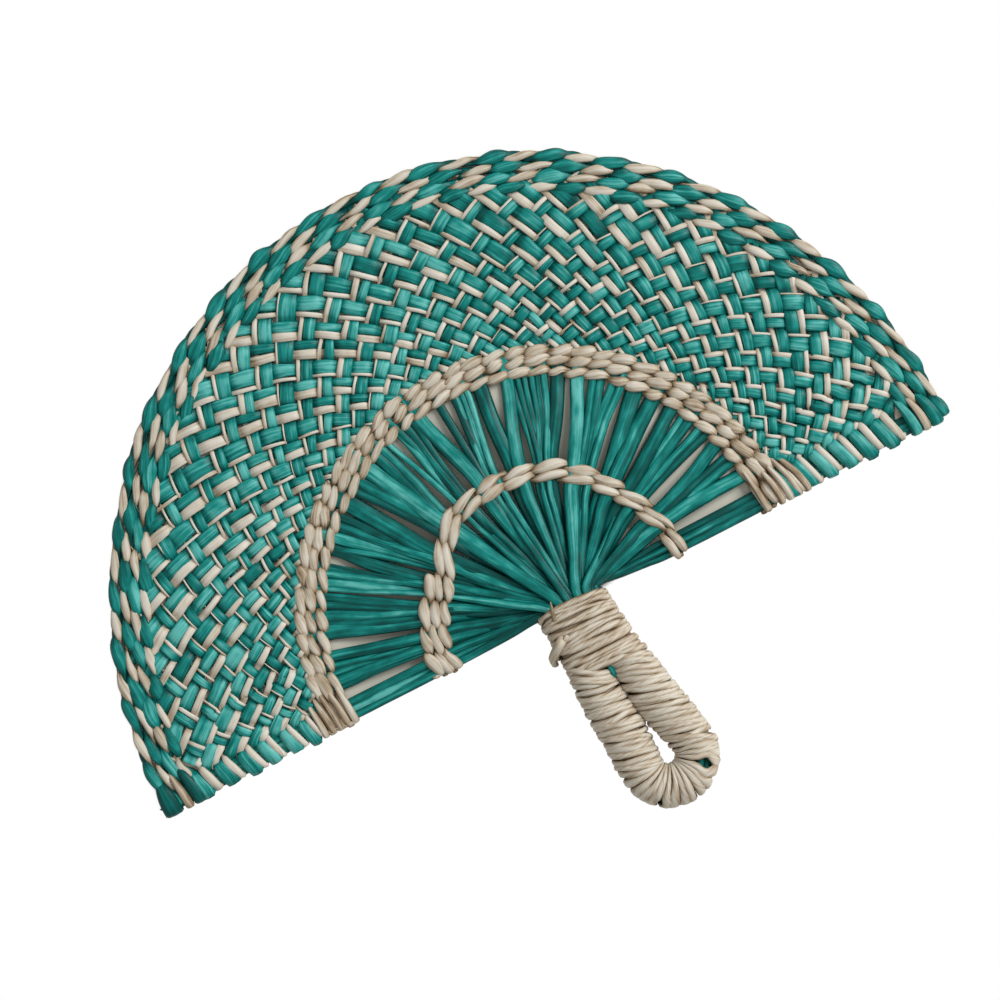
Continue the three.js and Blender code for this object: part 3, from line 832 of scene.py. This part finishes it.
def neck_route(turns, radius, width, thick, untidy, seed):
    """Turns of straw round the flat bundle of the neck, from its top to its foot."""
    route = []
    steps = 40
    for step in range(turns * steps + 1):
        turn = step / steps
        y = mix(NECK_TOP - width / 2, NECK_FOOT + width / 2, turn / turns)
        angle = 2 * math.pi * (0.75 - turn)
        c = math.cos(angle)
        s = math.sin(angle)
        half = mix(*NECK_HALVES, -y / NECK_LENGTH) + radius - WRAP_R
        half += 0.35 * untidy * sway(seed + 2, turn * 1.3)
        rise = radius + 0.25 * untidy * sway(seed + 3, turn * 1.7)
        if s < 0:
            rise = min(rise, FLAT_BELOW)
        x = half * math.copysign(abs(c) ** SQUARE, c)
        z = rise * math.copysign(abs(s) ** SQUARE, s)
        y -= NECK_TOP_ROUNDING * abs(c) ** 3 * ease(-10, NECK_TOP, y)
        y += (NECK_SLANT + 0.09 * untidy * sway(seed + 4, turn * 0.9)) * x
        y += untidy * (0.45 * sway(seed + 5, turn * 1.9) + 0.6 * sway(seed + 8, turn * 5.6))
        ends = math.copysign(abs(c) ** (2 - SQUARE), c) / half
        tops = math.copysign(abs(s) ** (2 - SQUARE), s) / rise
        tilt = 0.3 * untidy * sway(seed + 6, turn * 3.1)
        out = Vector((ends, 0, tops)).normalized() + Vector((0, tilt, 0))
        swell = 0.12 * sway(seed + 7, turn * 1.4) + 0.28 * sway(seed + 9, turn * 5.7)
        route.append((at_handle(x, y, z), turn_handle(out), width * (1 + untidy * swell), thick))
    return route


# The first layer takes the darkest tone: painted shade in the slits between the turns above it.
under = neck_route(NECK_UNDER_TURNS, WRAP_R - UNDER_DEPTH, width=4.6, thick=1.1, untidy=0, seed=0)
lay_straw(neck, under, 0)
whole = neck_route(NECK_TURNS, WRAP_R, width=2.8, thick=2.2, untidy=1.3, seed=0)
lay_straw(neck, whole, 0.8, flat=1, edge_wear_and_shade=0.55, twist=TWIST)
late = neck_route(NECK_LATE_TURNS, WRAP_R + 0.2, width=2.5, thick=1.9, untidy=1.8, seed=20)
lay_straw(neck, late, 0.75, flat=1, edge_wear_and_shade=0.35, twist=TWIST)
TAIL = ((-10, -12.4, 6.8), (-12.3, -13.6, 8.9), (-15.5, -15.4, 7.6),
        (-18.6, -17.6, 4.2), (-19.6, -19.2, 0.8), (-18, -19.6, -1.5))
TAIL_OUT = ((0, 0, 1), (-0.3, 0, 1), (-0.7, 0, 0.7), (-1, 0, 0.3), (-1, 0, -0.3), (-0.6, 0, -1))
FRAY = ((-9.5, -4.5, 8.2), (-8.6, -1.5, 8.8), (-7.6, 1.2, 8.9), (-6.8, 3.4, 8.8))


def short_straw(points, outs, widths, thick, tone):
    """A short end of straw through points of the handle."""
    middles = curve([at_handle(*point) for point in points], 4)
    faces = curve([turn_handle(Vector(out)) for out in outs], 4)
    last = len(middles) - 1
    route = []
    for i, (middle, out) in enumerate(zip(middles, faces)):
        route.append((middle, out.normalized(), mix(*widths, i / last), thick))
    lay_straw(neck, route, tone, flat=0.8)


short_straw(TAIL, TAIL_OUT, (4.2, 4.6), 1.8, 0.6)
short_straw([(x + 2.6, y + 0.4, z - 0.5) for x, y, z in TAIL], TAIL_OUT, (2.4, 2.4), 1.6, 0.4)
short_straw(FRAY, [(0, 0, 1)] * len(FRAY), (2.2, 0.5), 0.9, 0)
finish_piece("neck_winding", neck, "natural_straw", "neck_wrap")

# Loop winding: the same straw wound on round both legs and the foot of the loop, over a first
# layer on the legs. Its slanted turns bunch together on the inner side of the foot and leave two
# slits on the outer side. A few later, looser turns lie over both legs.
LOOP_TURNS = 50
LOOP_UNDER_TURNS = 13
LOOP_LATE_TURNS = 7
LOOP_THICK = 2.0
LOOP_LEAST_W = 1.5
LEG_BROAD = 0.9
MEET_Y = -44
MEET_HALF = 10
SLITS = ((41, 63, 2.6), (136, 29, 1.6))
SLIT_FOCUS = 9
TUCK = 4
LATE_INSET = 3
loop_start = LEG_TOP - EYE_TOP - TUCK
loop = new_bundle()


def loop_stop(s, angle, radius, broad, width, thick, tilt):
    """A stop of the winding, round a leg that is a little broader than it is high."""
    middle, along, side = loop_frame(s)
    out = side * math.cos(angle) + UP * math.sin(angle)
    middle = middle + out * radius + side * math.cos(angle) * broad
    return HANDLE_AT @ middle, turn_handle(out + along * tilt), width, thick


def loop_route(first, last, turns, lift, nominal, untidy, seed):
    """Turns of straw from one place of the loop to another, both ends hidden below."""
    route = []
    steps = 22
    for step in range(turns * steps + 1):
        turn = step / steps
        s = mix(first, last, turn / turns)
        angle = 2 * math.pi * (0.75 - turn)
        bent = ease(LEG_LENGTH - 6, LEG_LENGTH + 4, s)
        bent *= ease(LEG_LENGTH + FOOT_LENGTH + 6, LEG_LENGTH + FOOT_LENGTH - 4, s)
        slant = mix(mix(0.5, 0.24, ease(0.3, 0.7, s / LOOP_LENGTH)), 0.12, bent)
        slant += 0.14 * untidy * sway(seed, turn * 0.8)
        s += slant * WRAP_R * math.cos(angle)
        loose = 0.5 * sway(seed + 1, turn * 1.9) + 0.6 * sway(seed + 2, turn * 4.7)
        s += untidy * (1 - 0.5 * bent) * loose
        for slit, height, push in SLITS:
            gap = LEG_LENGTH + FOOT_R * math.radians(slit)
            facing = max(math.cos(angle - math.radians(height)), 0) ** SLIT_FOCUS
            s += push * facing * math.tanh((s - gap) / 0.6) * math.exp(-((s - gap) / 4) ** 2)
        room = 1 + (WRAP_R / FOOT_R) * math.cos(angle) * bent
        swell = 0.14 * sway(seed + 3, turn * 1.3) + 0.24 * sway(seed + 6, turn * 5.3)
        width = max(LOOP_LEAST_W, nominal * room * (1 + swell))
        broad = LEG_BROAD * ease(30, 46, s) * ease(LOOP_LENGTH - 30, LOOP_LENGTH - 46, s)
        broad *= 1 - 0.6 * bent
        if math.cos(angle) < 0:
            broad += LEG_BROAD * ease(14, 4, abs(loop_point(s).y - MEET_Y) - MEET_HALF)
        radius = WRAP_R + lift + 0.22 * sway(seed + 4, turn * 2.3)
        radius = mix(radius, FLAT_BELOW, max(-math.sin(angle), 0))
        tilt = 0.3 * sway(seed + 5, turn * 3.3)
        route.append(loop_stop(s, angle, radius, broad, width, LOOP_THICK, tilt))
    return route


# The first layer on each leg takes the darkest tone: painted shade in the slits between the turns above
# it.
for first in (loop_start, LOOP_LENGTH - LEG_LENGTH - TUCK):
    route = []
    steps = 14
    under_run = LEG_LENGTH - loop_start + TUCK
    for step in range(LOOP_UNDER_TURNS * steps + 1):
        turn = step / steps
        s = first + under_run * turn / LOOP_UNDER_TURNS
        angle = 2 * math.pi * (0.25 + turn)
        route.append(loop_stop(s, angle, WRAP_R - UNDER_DEPTH, broad=0.4, width=4.4, thick=1, tilt=0))
    lay_straw(loop, route, 0)
loop_end = LOOP_LENGTH - loop_start
whole = loop_route(loop_start, loop_end, LOOP_TURNS, lift=0, nominal=3.0, untidy=1, seed=11)
lay_straw(loop, whole, 0.95, flat=1, edge_wear_and_shade=0.5, twist=TWIST)
right_leg = loop_start + LATE_INSET, LEG_LENGTH
left_leg = LOOP_LENGTH - LEG_LENGTH, loop_end - LATE_INSET
for leg, seed in ((right_leg, 31), (left_leg, 47)):
    late = loop_route(*leg, LOOP_LATE_TURNS, lift=0.25, nominal=2.4, untidy=1.7, seed=seed)
    lay_straw(loop, late, 0.75, flat=1, edge_wear_and_shade=0.35, twist=TWIST)
finish_piece("loop_winding", loop, "natural_straw", "loop_wrap")

# Floor: a plain pale sheet of paper that the fan lies on. It shows white away from the fan and in
# the eye of the handle, and keeps the fan's shadow close to it and between the spokes.
FLOOR_HALF = 2
FLOOR_Z = -0.2 * MM
SHADOW_REACH = 20 * MM
EYE_MIDDLE = at_handle(1.6, -72, 0) * MM
floor_mesh = bpy.data.meshes.new("floor")
sheet = bmesh.new()
bmesh.ops.create_grid(sheet, x_segments=1, y_segments=1, size=FLOOR_HALF)
bmesh.ops.translate(sheet, verts=sheet.verts, vec=(0, 0, FLOOR_Z))
sheet.to_mesh(floor_mesh)
sheet.free()
floor = bpy.data.objects.new("floor", floor_mesh)
bpy.context.scene.collection.objects.link(floor)
paper = bpy.data.materials.new("floor_paper")
paper.use_nodes = True
paper_tree = paper.node_tree
paper_face = paper_tree.nodes["Principled BSDF"]
paper_face.inputs["Base Color"].default_value = dye(205, 202, 188)
paper_face.inputs["Roughness"].default_value = 0.9
paper_shade = Shade(paper_tree)
seen = paper_shade.add("ShaderNodeLightPath", {}, {}, "Is Camera Ray")
mirrored = paper_shade.add("ShaderNodeLightPath", {}, {}, "Is Glossy Ray")
through = paper_shade.add("ShaderNodeLightPath", {}, {}, "Is Transmission Ray")
seen = seen.sum("MAXIMUM", seen, mirrored.sum("MAXIMUM", mirrored, through))
spot = paper_shade.add("ShaderNodeTexCoord", {}, {}, "Object")
spot_x = paper_shade.add("ShaderNodeSeparateXYZ", {}, {0: spot}, "X") - HUB.x
spot_y = paper_shade.add("ShaderNodeSeparateXYZ", {}, {0: spot}, "Y") - HUB.y
openness = paper_shade.add("ShaderNodeAmbientOcclusion", {"samples": 8},
                           {"Distance": SHADOW_REACH}, "AO")


def from_to(value, low, high):
    """A smooth step of a value from 0 at low to 1 at high."""
    return paper_shade.add("ShaderNodeMapRange", {"interpolation_type": "SMOOTHSTEP"},
                           {"Value": value, "From Min": low, "From Max": high})


below = from_to(spot_y, 0, -6 * MM)
spot_r2 = spot_x * spot_x + spot_y * spot_y
behind = from_to(spot_r2, (116 * MM) ** 2, (108 * MM) ** 2) * from_to(spot_y, 0, 3 * MM)
clear = from_to(openness, 0.3 - below * 0.3, 0.62 - below * 0.6) * (1 - behind)
eye_x = spot_x - EYE_MIDDLE.x
eye_y = spot_y - EYE_MIDDLE.y
in_eye = from_to(eye_x * eye_x + eye_y * eye_y, (13 * MM) ** 2, (11 * MM) ** 2)
clear = clear.sum("MAXIMUM", clear, in_eye)
white = paper_shade.add("ShaderNodeEmission", {}, {"Color": (1, 1, 1, 1), "Strength": 1})
blend = paper_shade.add("ShaderNodeMixShader", {},
                        {0: seen * clear, 1: Shade(paper_tree, paper_face.outputs[0]), 2: white})
paper_tree.links.new(blend.socket, paper_tree.nodes["Material Output"].inputs["Surface"])
floor_mesh.materials.append(paper)

# Light: a soft studio dome and one large lamp from the upper right of the picture.
world = bpy.data.worlds.new("studio")
world.use_nodes = True
world.node_tree.nodes["Background"].inputs["Color"].default_value = (1, 1, 1, 1)
world.node_tree.nodes["Background"].inputs["Strength"].default_value = 0.5
bpy.context.scene.world = world
lamp_data = bpy.data.lights.new("window", "AREA")
lamp_data.size = 2.2
lamp_data.energy = 165
lamp = bpy.data.objects.new("window", lamp_data)
lamp.location = (3.4, 0.9, 2.7)
lamp.rotation_euler = (-lamp.location).to_track_quat("-Z", "Y").to_euler()
bpy.context.scene.collection.objects.link(lamp)

# Camera: straight above the fan, turned so that the straight edge rises to the right.
VIEW_WIDTH = 0.4224
VIEW_MIDDLE = Vector((-1.4, 50.1, LEAF_Z))
VIEW_TURN = math.radians(-27.15)
camera_data = bpy.data.cameras.new("camera")
camera_data.lens = 100
camera_data.sensor_width = 36
camera = bpy.data.objects.new("camera", camera_data)
camera_height = VIEW_WIDTH * camera_data.lens / camera_data.sensor_width
camera.location = HUB + VIEW_MIDDLE * MM + UP * camera_height
camera.rotation_euler = (0, 0, VIEW_TURN)
bpy.context.scene.collection.objects.link(camera)
bpy.context.scene.camera = camera
bpy.context.scene.view_settings.view_transform = "Standard"
